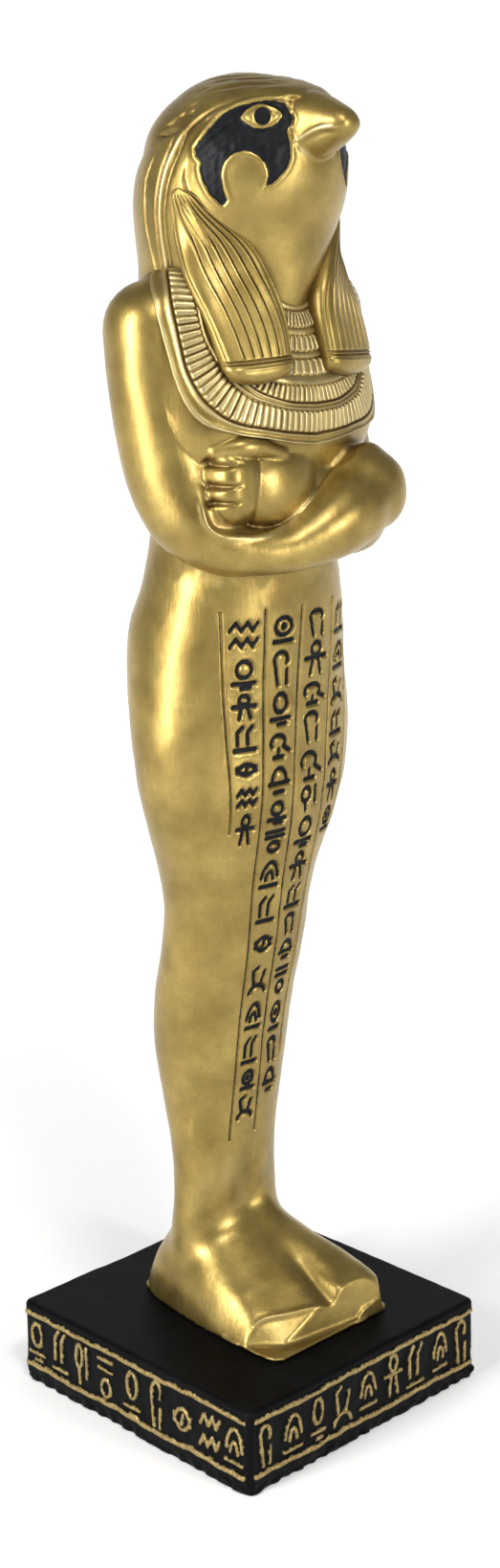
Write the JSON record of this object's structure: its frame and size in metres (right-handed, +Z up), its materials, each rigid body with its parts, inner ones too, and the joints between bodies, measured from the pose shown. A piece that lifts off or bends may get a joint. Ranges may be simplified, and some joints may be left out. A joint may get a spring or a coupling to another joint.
{
  "type": "falcon-headed mummy figurine",
  "caption": "Standing falcon-headed mummy figurine with crossed arms, collar and engraved front, gilded, on a square black plinth.",
  "frame": {"origin": "centre of the plinth's underside", "axes": "+Z up along the figure; the figure looks along -Y, and its own right hand is towards -X"},
  "size_m": [0.061, 0.061, 0.2369],
  "materials": {
    "gold_paint": "satin gold paint over cast resin, with a dark wash in the recesses",
    "black_paint": "satin black paint over cast resin, gold on the raised border lines and bars"
  },
  "bodies": {
    "root": {"figure": "gold_paint", "plinth": "black_paint"}
  },
  "joints": []
}
